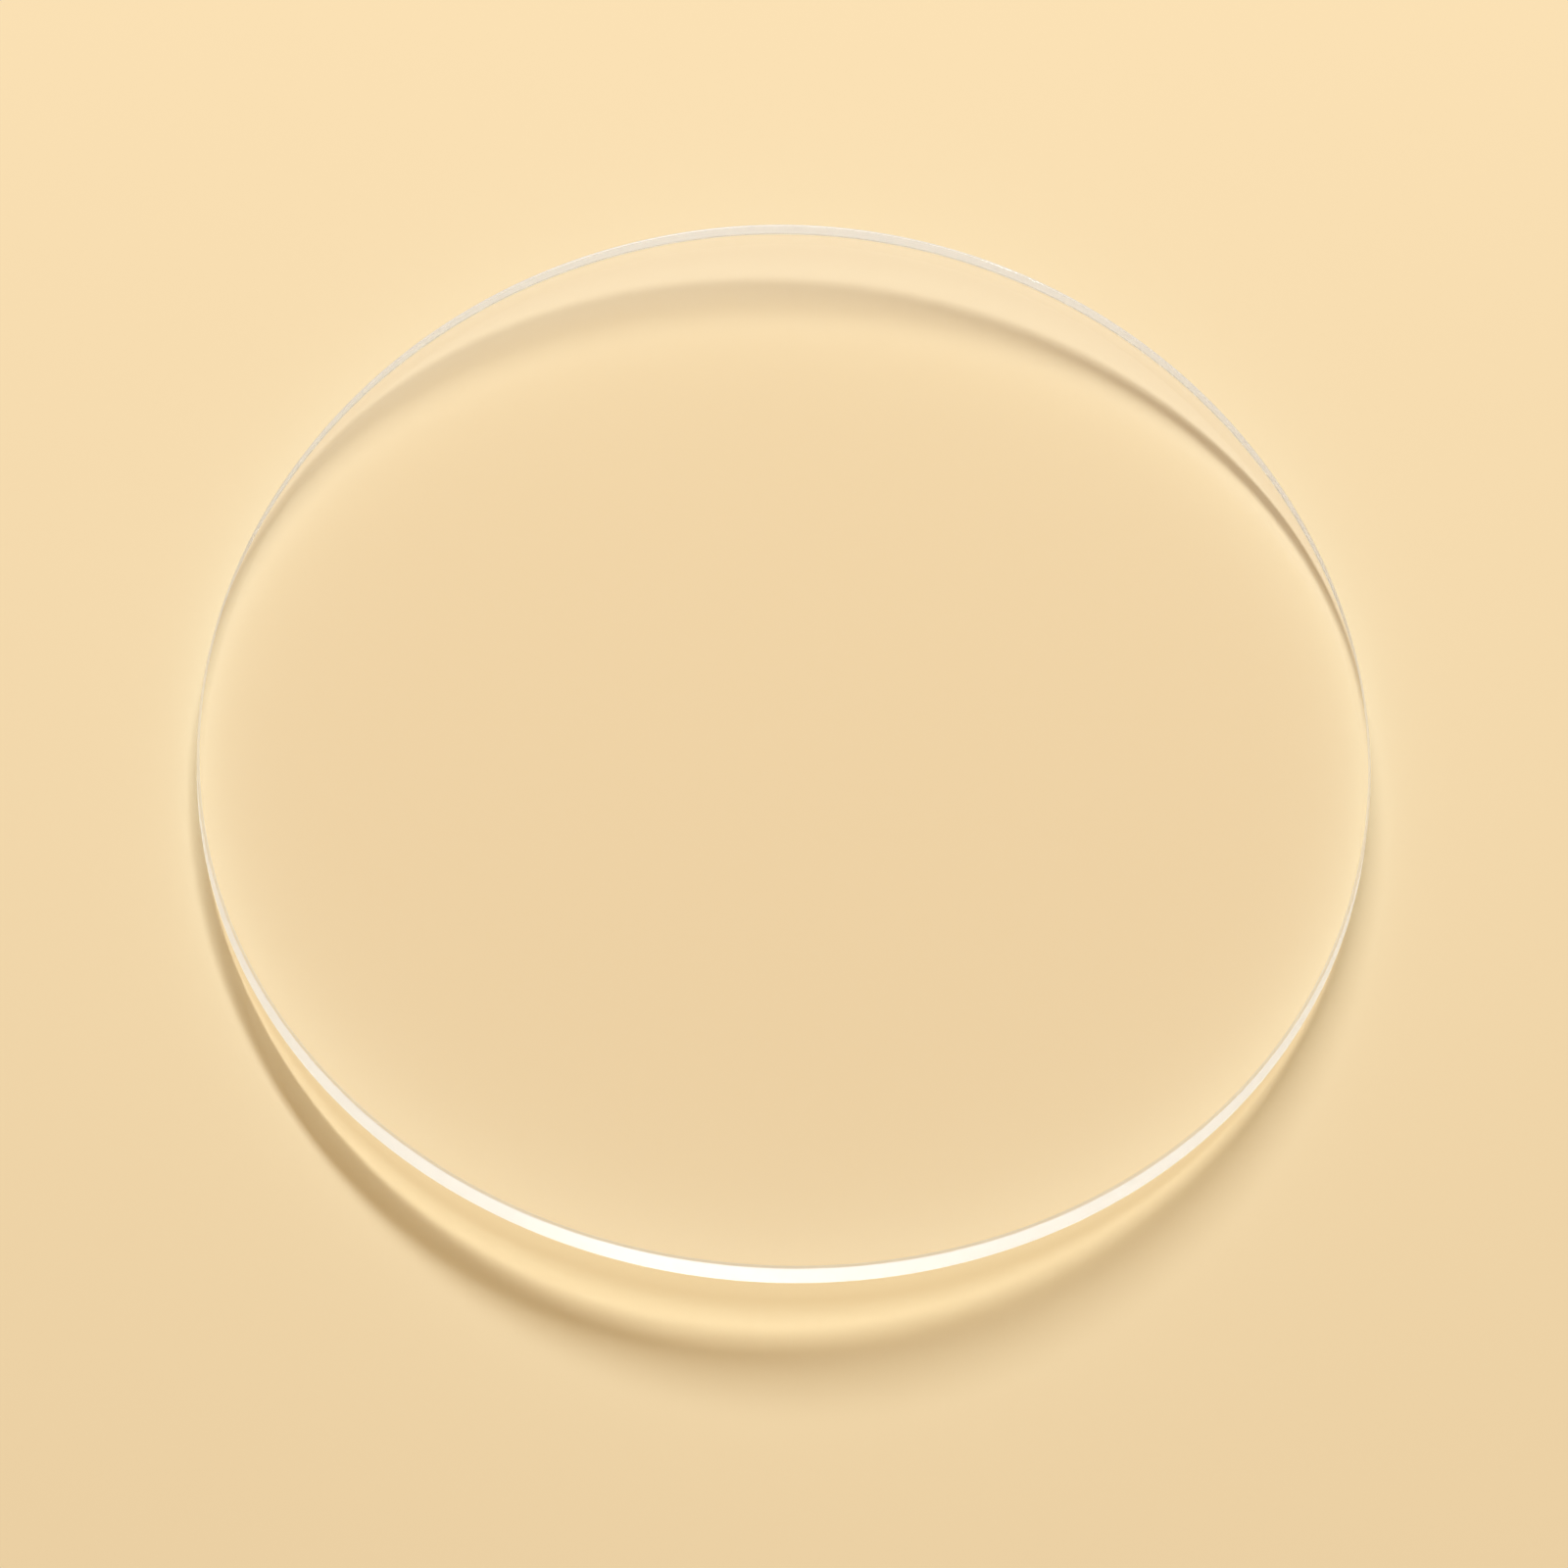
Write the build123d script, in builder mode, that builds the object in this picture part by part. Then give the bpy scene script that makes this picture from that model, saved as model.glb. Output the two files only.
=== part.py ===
from build123d import *
import math
import os

# A round watch crystal: one sheet of clear mineral glass, bent to a large radius and ground round at its edge.
# Units are millimetres, +Z is up, and the crowned face is the upper one.
# The sheet falls away towards +X and -X and is straight along Y.
# The crystal stands on its two low ends, and Z = 0 is the surface under them. The origin is under its middle.

# The bent sheet
edge_diameter = 34.0
glass_thickness = 1.0
underside_bend_radius = 130.0

# The roundings that break the two sharp rims: the upper one is handled, and the lower one is hidden in the seat
upper_arris_radius = 0.08
lower_arris_radius = 0.03

# How far the blank reaches past the ground edge before it is cut round
cut_overrun = 1.0

# Where the wall's seam line stands, counted from +X, so that neither the low ends nor the high sides carry it
seam_angle = 41.0

edge_radius = edge_diameter / 2
face_bend_radius = underside_bend_radius + glass_thickness

# The crystal stands on the rounding of its lower rim, so that sets the height of the bend's axis.
foot_reach = edge_radius - lower_arris_radius
foot_from_axis = underside_bend_radius + lower_arris_radius
bend_axis_z = lower_arris_radius - math.sqrt(foot_from_axis**2 - foot_reach**2)

# The blank, before it is cut round: where each of its two arcs has its middle and its ends
blank_reach = edge_radius + cut_overrun
face_crown = (0, bend_axis_z + face_bend_radius)
face_end_z = bend_axis_z + math.sqrt(face_bend_radius**2 - blank_reach**2)
underside_crown = (0, bend_axis_z + underside_bend_radius)
underside_end_z = bend_axis_z + math.sqrt(underside_bend_radius**2 - blank_reach**2)

# The cutting cylinder starts below the blank and ends above it.
cut_bottom_z = underside_end_z - cut_overrun
cut_top_z = face_crown[1] + cut_overrun

with BuildPart() as crystal:
    # The sheet from its side, between two arcs about one axis
    with BuildSketch(Plane.XZ) as sheet_section:
        with BuildLine():
            face = ThreePointArc((-blank_reach, face_end_z), face_crown, (blank_reach, face_end_z))
            underside = ThreePointArc(
                (-blank_reach, underside_end_z), underside_crown, (blank_reach, underside_end_z)
            )
            Line(face @ 0, underside @ 0)
            Line(face @ 1, underside @ 1)
        make_face()
    extrude(amount=blank_reach, both=True)

    # The edge, ground square to the plan: a true cylinder about Z, although the faces are bent
    with BuildSketch(Plane.XY.offset(cut_bottom_z).rotated((0, 0, seam_angle))) as edge_outline:
        Circle(edge_radius)
    extrude(amount=cut_top_z - cut_bottom_z, mode=Mode.INTERSECT)

    # The arris on the lower rim, and then the one on the upper rim
    for rim, arris_radius in ((0, lower_arris_radius), (-1, upper_arris_radius)):
        rims = crystal.edges().filter_by(GeomType.LINE, reverse=True).sort_by(Axis.Z)
        fillet(rims[rim], radius=arris_radius)

crystal.part.label = "crystal"

os.makedirs("parts", exist_ok=True)
export_step(crystal.part, "parts/crystal.step")
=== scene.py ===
import math

import bpy
import numpy as np
from mathutils import Matrix, Vector


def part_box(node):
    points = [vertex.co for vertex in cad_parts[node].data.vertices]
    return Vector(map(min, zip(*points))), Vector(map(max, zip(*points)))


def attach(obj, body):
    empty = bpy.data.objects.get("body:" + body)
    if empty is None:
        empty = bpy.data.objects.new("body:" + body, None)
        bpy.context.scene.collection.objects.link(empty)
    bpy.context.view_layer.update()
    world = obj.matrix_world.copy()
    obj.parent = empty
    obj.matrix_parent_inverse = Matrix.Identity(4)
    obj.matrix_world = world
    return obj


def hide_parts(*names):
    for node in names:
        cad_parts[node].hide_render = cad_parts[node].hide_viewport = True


# A bare watch crystal on a pale table: one sheet of clear mineral glass, bent about an axis along Y and
# ground round at its edge. Lengths are metres, +Z is up, and the crystal stands on its two low ends, at
# +X and -X.

MM = 0.001

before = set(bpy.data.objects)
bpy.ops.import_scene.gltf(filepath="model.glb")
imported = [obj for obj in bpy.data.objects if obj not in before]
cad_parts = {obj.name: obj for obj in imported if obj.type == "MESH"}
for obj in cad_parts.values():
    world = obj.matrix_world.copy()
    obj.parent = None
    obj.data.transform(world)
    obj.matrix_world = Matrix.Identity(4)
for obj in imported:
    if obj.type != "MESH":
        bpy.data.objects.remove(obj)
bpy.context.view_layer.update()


# Sizes of the glass

glass_thickness = 1.0 * MM
upper_arris_radius = 0.08 * MM
lower_arris_radius = 0.03 * MM

# The frame gives the bend: the crystal stands on the rounding of its lower rim.
crystal_low, crystal_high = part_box("crystal")
edge_radius = (crystal_high.x - crystal_low.x) / 2
foot_reach = edge_radius - lower_arris_radius
underside_rise = crystal_high.z - crystal_low.z - glass_thickness
foot_from_axis = (foot_reach**2 + underside_rise**2) / (2 * underside_rise)
underside_bend_radius = foot_from_axis - lower_arris_radius
face_bend_radius = underside_bend_radius + glass_thickness
bend_axis_z = crystal_low.z + underside_rise - underside_bend_radius

# How finely the surfaces are divided
angle_steps = 720
face_rings = 16
wall_steps = 8
arris_steps = 6

# A narrow band on either side of an arris, so that the smooth shading of the rounding doesn't reach
# past it
guard_width = 0.01 * MM

# Edges that turn more than this are shaded sharp
sharp_turn = math.radians(30)


# Small helpers

def linear(hex_colour):
    """An sRGB hex colour as a linear one with alpha 1: each channel's 0.04045 toe is divided by
    12.92, and the rest is (c + 0.055) / 1.055 to the power 2.4."""
    channels = np.array([int(hex_colour[i : i + 2], 16) / 255 for i in (1, 3, 5)])
    curve = np.where(channels <= 0.04045, channels / 12.92, ((channels + 0.055) / 1.055) ** 2.4)
    return (*curve, 1.0)


def add_node(tree, kind, settings=None, inputs=(), **links):
    """Adds a node of this kind. settings set its own options and its sockets' values. inputs are
    outputs of other nodes for its first sockets, in their order, and links are outputs for its
    sockets by name, with _ for a space."""
    node = tree.nodes.new(kind)
    for name, value in (settings or {}).items():
        if name in node.inputs:
            node.inputs[name].default_value = value
        else:
            setattr(node, name, value)
    for place, output in enumerate(inputs):
        tree.links.new(output, node.inputs[place])
    for name, output in links.items():
        tree.links.new(output, node.inputs[name.replace("_", " ")])
    return node


def new_material(name):
    """An empty node material with its output node."""
    material = bpy.data.materials.new(name)
    material.use_nodes = True
    tree = material.node_tree
    tree.nodes.clear()
    return material, tree, tree.nodes.new("ShaderNodeOutputMaterial")


def mesh_piece(name, points, faces, materials, face_slots=None):
    """A smooth-shaded mesh object at the origin, from arrays of points and of faces."""
    mesh = bpy.data.meshes.new(name)
    mesh.from_pydata(points.tolist(), [], faces)
    mesh.shade_smooth()
    for material in materials:
        mesh.materials.append(material)
    if face_slots is not None:
        mesh.polygons.foreach_set("material_index", face_slots.astype(np.int32))
    mesh.update()
    piece = bpy.data.objects.new(name, mesh)
    bpy.context.scene.collection.objects.link(piece)
    return piece


# Materials

glass_ior = 1.52
clear = "#FFFFFF"

# What each of the two polished faces leaves of the light that reaches the table under the glass. It is
# a little warm, which makes up for the white room that the faces mirror.
lamp_passed = "#FCF9F2"

# The broken skin of the ground edge is white, and turned cool, because the table lights it warmly.
milk_colour = "#EAF3FF"

# The roughness of the two ground surfaces, and the share of light that their broken skin spreads evenly
wall_roughness = 0.4
wall_milk = 0.6
arris_roughness = 0.3
arris_milk = 0.45

# The part of the spread light that goes onwards, through the skin, instead of back
milk_onwards = 0.5

# The ripple that bending leaves in the faces, from crest to crest and from crest to trough
ripple_length = 5.0 * MM
ripple_height = 0.0005 * MM
ripple_detail = 1.0

# The marks of the grinding wheel: real ones are some 0.01 mm apart, and are drawn coarser here, so that
# they show from near by. They shift the roughness and the milk by mark_contrast either way, over the
# noise's usual run.
mark_width = 0.05 * MM
mark_length = 2.0 * MM
mark_height = 0.0001 * MM
mark_detail = 2.0
mark_contrast = 0.05
noise_low = 0.3
noise_high = 0.7


def polished_glass():
    """Clear mineral glass, float-polished on both faces and then bent hot: it shows the table
    unblurred, with a thin mirror of the room over it, which the ripple of the bending disturbs a
    little. Lamps and the light of the table pass straight through it, with the share that its faces
    leave."""
    material, tree, output = new_material("mineral glass, polished")
    place = add_node(tree, "ShaderNodeTexCoord")
    ripple = add_node(
        tree,
        "ShaderNodeTexNoise",
        {"Scale": 1 / ripple_length, "Detail": ripple_detail},
        Vector=place.outputs["Object"],
    )
    waves = add_node(tree, "ShaderNodeBump", {"Distance": ripple_height}, Height=ripple.outputs[0])
    bends = add_node(
        tree,
        "ShaderNodeBsdfGlass",
        {"Color": linear(clear), "Roughness": 0.0, "IOR": glass_ior},
        Normal=waves.outputs[0],
    )
    passes = add_node(tree, "ShaderNodeBsdfTransparent", {"Color": linear(lamp_passed)})
    path = add_node(tree, "ShaderNodeLightPath")
    stray = add_node(
        tree,
        "ShaderNodeMath",
        {"operation": "MAXIMUM"},
        inputs=(path.outputs["Is Shadow Ray"], path.outputs["Is Diffuse Ray"]),
    )
    mix = add_node(
        tree, "ShaderNodeMixShader", inputs=(stray.outputs[0], bends.outputs[0], passes.outputs[0])
    )
    tree.links.new(mix.outputs[0], output.inputs["Surface"])
    return material


def ground_glass(name, roughness, milk, lamp_misses):
    """The same glass, ground with a fine wheel: it scatters light and looks white where light is behind
    it. milk is the share of light that the broken skin of the ground face spreads evenly, back and
    onwards. The wheel's marks run round the edge, and where they are deeper the face is rougher and
    whiter.

    A lamp's light is bent down where it enters the upper face, so it crosses the sheet within about
    half of its height, and of the wall it can only meet the lower half from inside. lamp_misses says
    that this is the part above that, which a straight ray to a lamp meets from inside, but the light
    itself passes by.
    """
    material, tree, output = new_material(name)
    place = add_node(tree, "ShaderNodeTexCoord")
    stretch = add_node(
        tree,
        "ShaderNodeMapping",
        {"Scale": (1 / mark_length, 1 / mark_length, 1 / mark_width)},
        Vector=place.outputs["Object"],
    )
    marks = add_node(
        tree, "ShaderNodeTexNoise", {"Scale": 1.0, "Detail": mark_detail}, Vector=stretch.outputs[0]
    )
    grooves = add_node(tree, "ShaderNodeBump", {"Distance": mark_height}, Height=marks.outputs[0])
    rough, white = (
        add_node(
            tree,
            "ShaderNodeMapRange",
            {
                "From Min": noise_low,
                "From Max": noise_high,
                "To Min": (1 - mark_contrast) * middle,
                "To Max": (1 + mark_contrast) * middle,
            },
            Value=marks.outputs[0],
        )
        for middle in (roughness, milk)
    )
    bends = add_node(
        tree,
        "ShaderNodeBsdfGlass",
        {"Color": linear(clear), "IOR": glass_ior},
        Roughness=rough.outputs[0],
        Normal=grooves.outputs[0],
    )
    back, onwards = (
        add_node(tree, kind, {"Color": linear(milk_colour)}, Normal=grooves.outputs[0])
        for kind in ("ShaderNodeBsdfDiffuse", "ShaderNodeBsdfTranslucent")
    )
    spread = add_node(tree, "ShaderNodeMixShader", {"Fac": milk_onwards})
    tree.links.new(back.outputs[0], spread.inputs[1])
    tree.links.new(onwards.outputs[0], spread.inputs[2])
    skin = add_node(
        tree, "ShaderNodeMixShader", inputs=(white.outputs[0], bends.outputs[0], spread.outputs[0])
    )

    if lamp_misses:
        path = add_node(tree, "ShaderNodeLightPath")
        side = add_node(tree, "ShaderNodeNewGeometry")
        outwards = add_node(
            tree,
            "ShaderNodeMath",
            {"operation": "MULTIPLY"},
            inputs=(path.outputs["Is Shadow Ray"], side.outputs["Backfacing"]),
        )
        passes = add_node(tree, "ShaderNodeBsdfTransparent", {"Color": linear(clear)})
        skin = add_node(
            tree, "ShaderNodeMixShader", inputs=(outwards.outputs[0], skin.outputs[0], passes.outputs[0])
        )

    tree.links.new(skin.outputs[0], output.inputs["Surface"])
    return material


# The crystal

def crystal_surface():
    """The crystal's skin, as rings of points round Z.

    A ring has a radius r, a share s of the way from the upper face to the underside, and a step d along
    Z. At the plan angle a its point is (r cos a, r sin a, z), with z = (1 - s) face(x) + s underside(x)
    + d and x = r cos a. Both surfaces are cylinders about one axis along Y: bend_axis_z + sqrt(bend
    radius squared - x squared). An arris is a quarter of a circle: after a turn t it has gone its
    radius times sin t outwards, and its radius times (1 - cos t) along Z, into the glass.
    """
    turn = np.linspace(0, np.pi / 2, arris_steps + 1)[1:]

    def face_and_arris(arris_radius):
        """The radii and the depths of the rings from the middle of a face to the foot of its arris."""
        reach = edge_radius - arris_radius
        face_radii = np.append(np.linspace(0, reach - guard_width, face_rings)[1:], reach)
        radii = np.append(face_radii, reach + arris_radius * np.sin(turn))
        depths = np.append(np.zeros(face_rings), arris_radius * (1 - np.cos(turn)))
        return radii, depths

    upper_radii, upper_depths = face_and_arris(upper_arris_radius)
    lower_radii, lower_depths = face_and_arris(lower_arris_radius)
    wall_height = glass_thickness - upper_arris_radius - lower_arris_radius
    wall_shares = np.linspace(guard_width, wall_height - guard_width, wall_steps - 1) / wall_height
    wall_radii = np.full(wall_steps - 1, edge_radius)
    wall_steps_along_z = wall_shares * lower_arris_radius - (1 - wall_shares) * upper_arris_radius

    radii = np.concatenate([upper_radii, wall_radii, lower_radii[::-1]])
    steps = np.concatenate([-upper_depths, wall_steps_along_z, lower_depths[::-1]])
    shares = np.concatenate([np.zeros(len(upper_radii)), wall_shares, np.ones(len(lower_radii))])

    angles = 2 * np.pi * np.arange(angle_steps) / angle_steps
    x = radii[:, None] * np.cos(angles)
    y = radii[:, None] * np.sin(angles)
    face_z = bend_axis_z + np.sqrt(face_bend_radius**2 - x**2)
    under_z = bend_axis_z + np.sqrt(underside_bend_radius**2 - x**2)
    z = (1 - shares[:, None]) * face_z + shares[:, None] * under_z + steps[:, None]
    rings = np.stack([x, y, z], axis=-1).reshape(-1, 3)
    top = [0, 0, bend_axis_z + face_bend_radius]
    bottom = [0, 0, bend_axis_z + underside_bend_radius]
    points = np.concatenate([rings, [top, bottom]])

    ring = np.arange(len(radii) - 1)[:, None] * angle_steps
    here = np.arange(angle_steps)
    after = (here + 1) % angle_steps
    quads = np.stack(
        [ring + here, ring + angle_steps + here, ring + angle_steps + after, ring + after], axis=-1
    ).reshape(-1, 4)
    last = (len(radii) - 1) * angle_steps
    top_fan = np.stack([np.full(angle_steps, len(rings)), here, after], axis=-1)
    bottom_fan = np.stack([np.full(angle_steps, len(rings) + 1), last + after, last + here], axis=-1)
    faces = quads.tolist() + top_fan.tolist() + bottom_fan.tolist()

    # Slot 0 is polished, 1 the upper arris, 2 and 3 the upper and lower halves of the wall, 4 the lower
    # arris.
    face_bands = np.zeros(face_rings - 1)
    rim_bands = np.repeat([1, 2, 3, 4], [arris_steps, wall_steps // 2, wall_steps // 2, arris_steps])
    bands = np.concatenate([face_bands, rim_bands, face_bands])
    slots = np.concatenate([np.repeat(bands, angle_steps), np.zeros(2 * angle_steps)])
    return points, faces, slots


finishes = [
    polished_glass(),
    ground_glass("mineral glass, upper arris", arris_roughness, arris_milk, True),
    ground_glass("mineral glass, ground edge, upper half", wall_roughness, wall_milk, True),
    ground_glass("mineral glass, ground edge, lower half", wall_roughness, wall_milk, False),
    ground_glass("mineral glass, lower arris", arris_roughness, arris_milk, False),
]
points, faces, slots = crystal_surface()
crystal = mesh_piece("watch_crystal", points, faces, finishes, slots)
crystal.data.set_sharp_from_angle(angle=sharp_turn)
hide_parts("crystal")
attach(crystal, "root")


# The table

table_reach = 3.0
table_colour = "#F6ECCD"


def matt_table():
    """A plain pale table top, matt: its colour is the same all over."""
    material, tree, output = new_material("table, matt")
    matt = add_node(tree, "ShaderNodeBsdfDiffuse", {"Color": linear(table_colour), "Roughness": 0.0})
    tree.links.new(matt.outputs[0], output.inputs["Surface"])
    return material


corners = np.array([[-1, -1, 0], [1, -1, 0], [1, 1, 0], [-1, 1, 0]]) * table_reach
corners[:, 2] = crystal_low.z
table = mesh_piece("table", corners, [[0, 1, 2, 3]], [matt_table()])


# The light

# What the softbox and the camera are turned to: the middle of the crystal, half way up
target = Vector((0, 0, 1 * MM))

# Shares of the light that reaches the open table. They add up to 1, the plain level at which a colour
# shows about as it is written. The fill is warm, so shadows are warmer than the open table.
key_share = 0.52
fill_share = 0.48
fill_colour = "#FFD8A4"
room_colour = "#FFFFFF"

# Where the ends of the strip softbox stand: metres across for each metre up, seen from the crystal
light_low_end = Vector((-0.45, 1.57, 1.0))
light_high_end = Vector((0.25, 0.70, 1.0))
light_height = 240 * MM
light_width = 36 * MM

light_run = (light_high_end - light_low_end) * light_height
light_place = (light_high_end + light_low_end) / 2 * light_height
light_from = light_place.normalized()
light_along = light_run - light_run.dot(light_from) * light_from
softbox = bpy.data.lights.new("softbox", "AREA")
softbox.shape = "RECTANGLE"
softbox.size = light_along.length
softbox.size_y = light_width

# A small lamp of power P, seen from the distance d at the height angle h, lights the table by
# P sin h / (pi d squared), and a table that is lit by pi shows its own colour.
softbox.energy = key_share * math.pi * light_place.length_squared * math.pi / light_from.z
lamp = bpy.data.objects.new("softbox", softbox)
light_x = light_along.normalized()
light_turn = Matrix((light_x, light_from.cross(light_x), light_from)).transposed()
lamp.matrix_world = Matrix.Translation(target + light_place) @ light_turn.to_4x4()
bpy.context.scene.collection.objects.link(lamp)

# What reaches a ground face through a polished one comes straight from the lamp, so it isn't counted
# twice.
lamp.visible_transmission = False

# The room is white all round where it is seen, mirrored or seen through glass. What it lights gets the
# fill.
world = bpy.data.worlds.new("room")
bpy.context.scene.world = world
world.use_nodes = True
room = world.node_tree
room.nodes.clear()
path = add_node(room, "ShaderNodeLightPath")
through = add_node(
    room,
    "ShaderNodeMath",
    {"operation": "MAXIMUM"},
    inputs=(path.outputs["Is Glossy Ray"], path.outputs["Is Transmission Ray"]),
)
shown = add_node(
    room,
    "ShaderNodeMath",
    {"operation": "MAXIMUM"},
    inputs=(path.outputs["Is Camera Ray"], through.outputs[0]),
)
fill = add_node(room, "ShaderNodeBackground", {"Color": linear(fill_colour), "Strength": fill_share})
pale = add_node(room, "ShaderNodeBackground", {"Color": linear(room_colour), "Strength": 1.0})
either = add_node(
    room, "ShaderNodeMixShader", inputs=(shown.outputs[0], fill.outputs[0], pale.outputs[0])
)
add_node(room, "ShaderNodeOutputWorld", Surface=either.outputs[0])


# The camera

view_elevation = math.radians(62.64)
view_azimuth = math.radians(1.64)
view_roll = math.radians(3.54)
view_distance = 500 * MM
view_nearest = 10 * MM
view_furthest = 10.0
lens_mm = 396.6
sensor_mm = 36.0

# The crystal's middle stands this far right of and above the picture's middle.
picture_offset = Vector((0.011, 0.831)) * MM

camera_data = bpy.data.cameras.new("camera")
camera_data.lens = lens_mm
camera_data.sensor_width = sensor_mm
camera_data.clip_start = view_nearest
camera_data.clip_end = view_furthest
camera = bpy.data.objects.new("camera", camera_data)
bpy.context.scene.collection.objects.link(camera)
back = Vector((
    math.cos(view_elevation) * math.sin(view_azimuth),
    -math.cos(view_elevation) * math.cos(view_azimuth),
    math.sin(view_elevation),
))
turned = back.to_track_quat("Z", "Y").to_matrix() @ Matrix.Rotation(view_roll, 3, "Z")
camera_place = target + back * view_distance - turned @ Vector((*picture_offset, 0))
camera.matrix_world = Matrix.Translation(camera_place) @ turned.to_4x4()
bpy.context.scene.camera = camera

# How often light may turn: many times inside the glass, and a few times between matt surfaces
glass_bounces = 64
matt_bounces = 4

scene = bpy.context.scene
scene.view_settings.view_transform = "Standard"
scene.cycles.max_bounces = glass_bounces
scene.cycles.glossy_bounces = glass_bounces
scene.cycles.transmission_bounces = glass_bounces
scene.cycles.transparent_max_bounces = glass_bounces
scene.cycles.diffuse_bounces = matt_bounces
